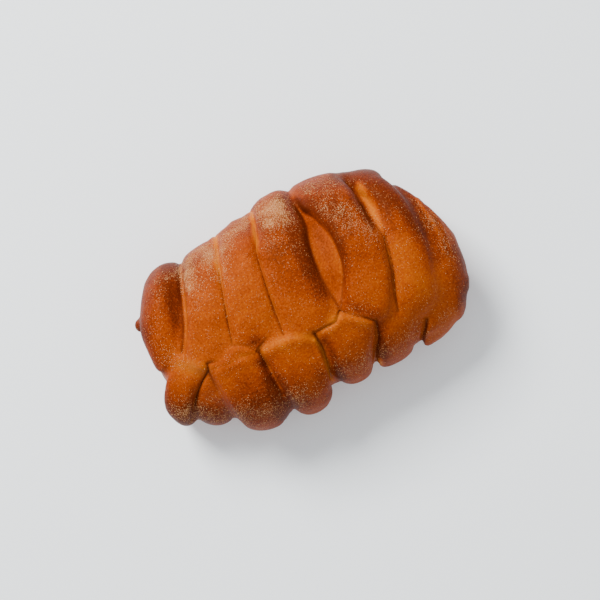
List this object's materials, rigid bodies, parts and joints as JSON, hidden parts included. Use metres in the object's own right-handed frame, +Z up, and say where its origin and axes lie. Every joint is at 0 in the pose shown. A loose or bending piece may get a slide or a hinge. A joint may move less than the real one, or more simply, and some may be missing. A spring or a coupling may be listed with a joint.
{
  "type": "sweet bun",
  "caption": "Short oblong baked sweet bun, wrapped in strips of dough that meet short front lobes at a zigzag seam, on a flat base.",
  "frame": {"origin": "middle of the flat base, at the height that the bun rests on", "axes": "+X along the roll, towards the smoother end; +Y towards the back, where the long strips come up from; +Z up from the base"},
  "size_m": [0.136, 0.09, 0.051],
  "materials": {
    "crust": "satin",
    "sugar": "satin"
  },
  "bodies": {
    "root": {"sweet_bun": "crust"}
  },
  "joints": []
}
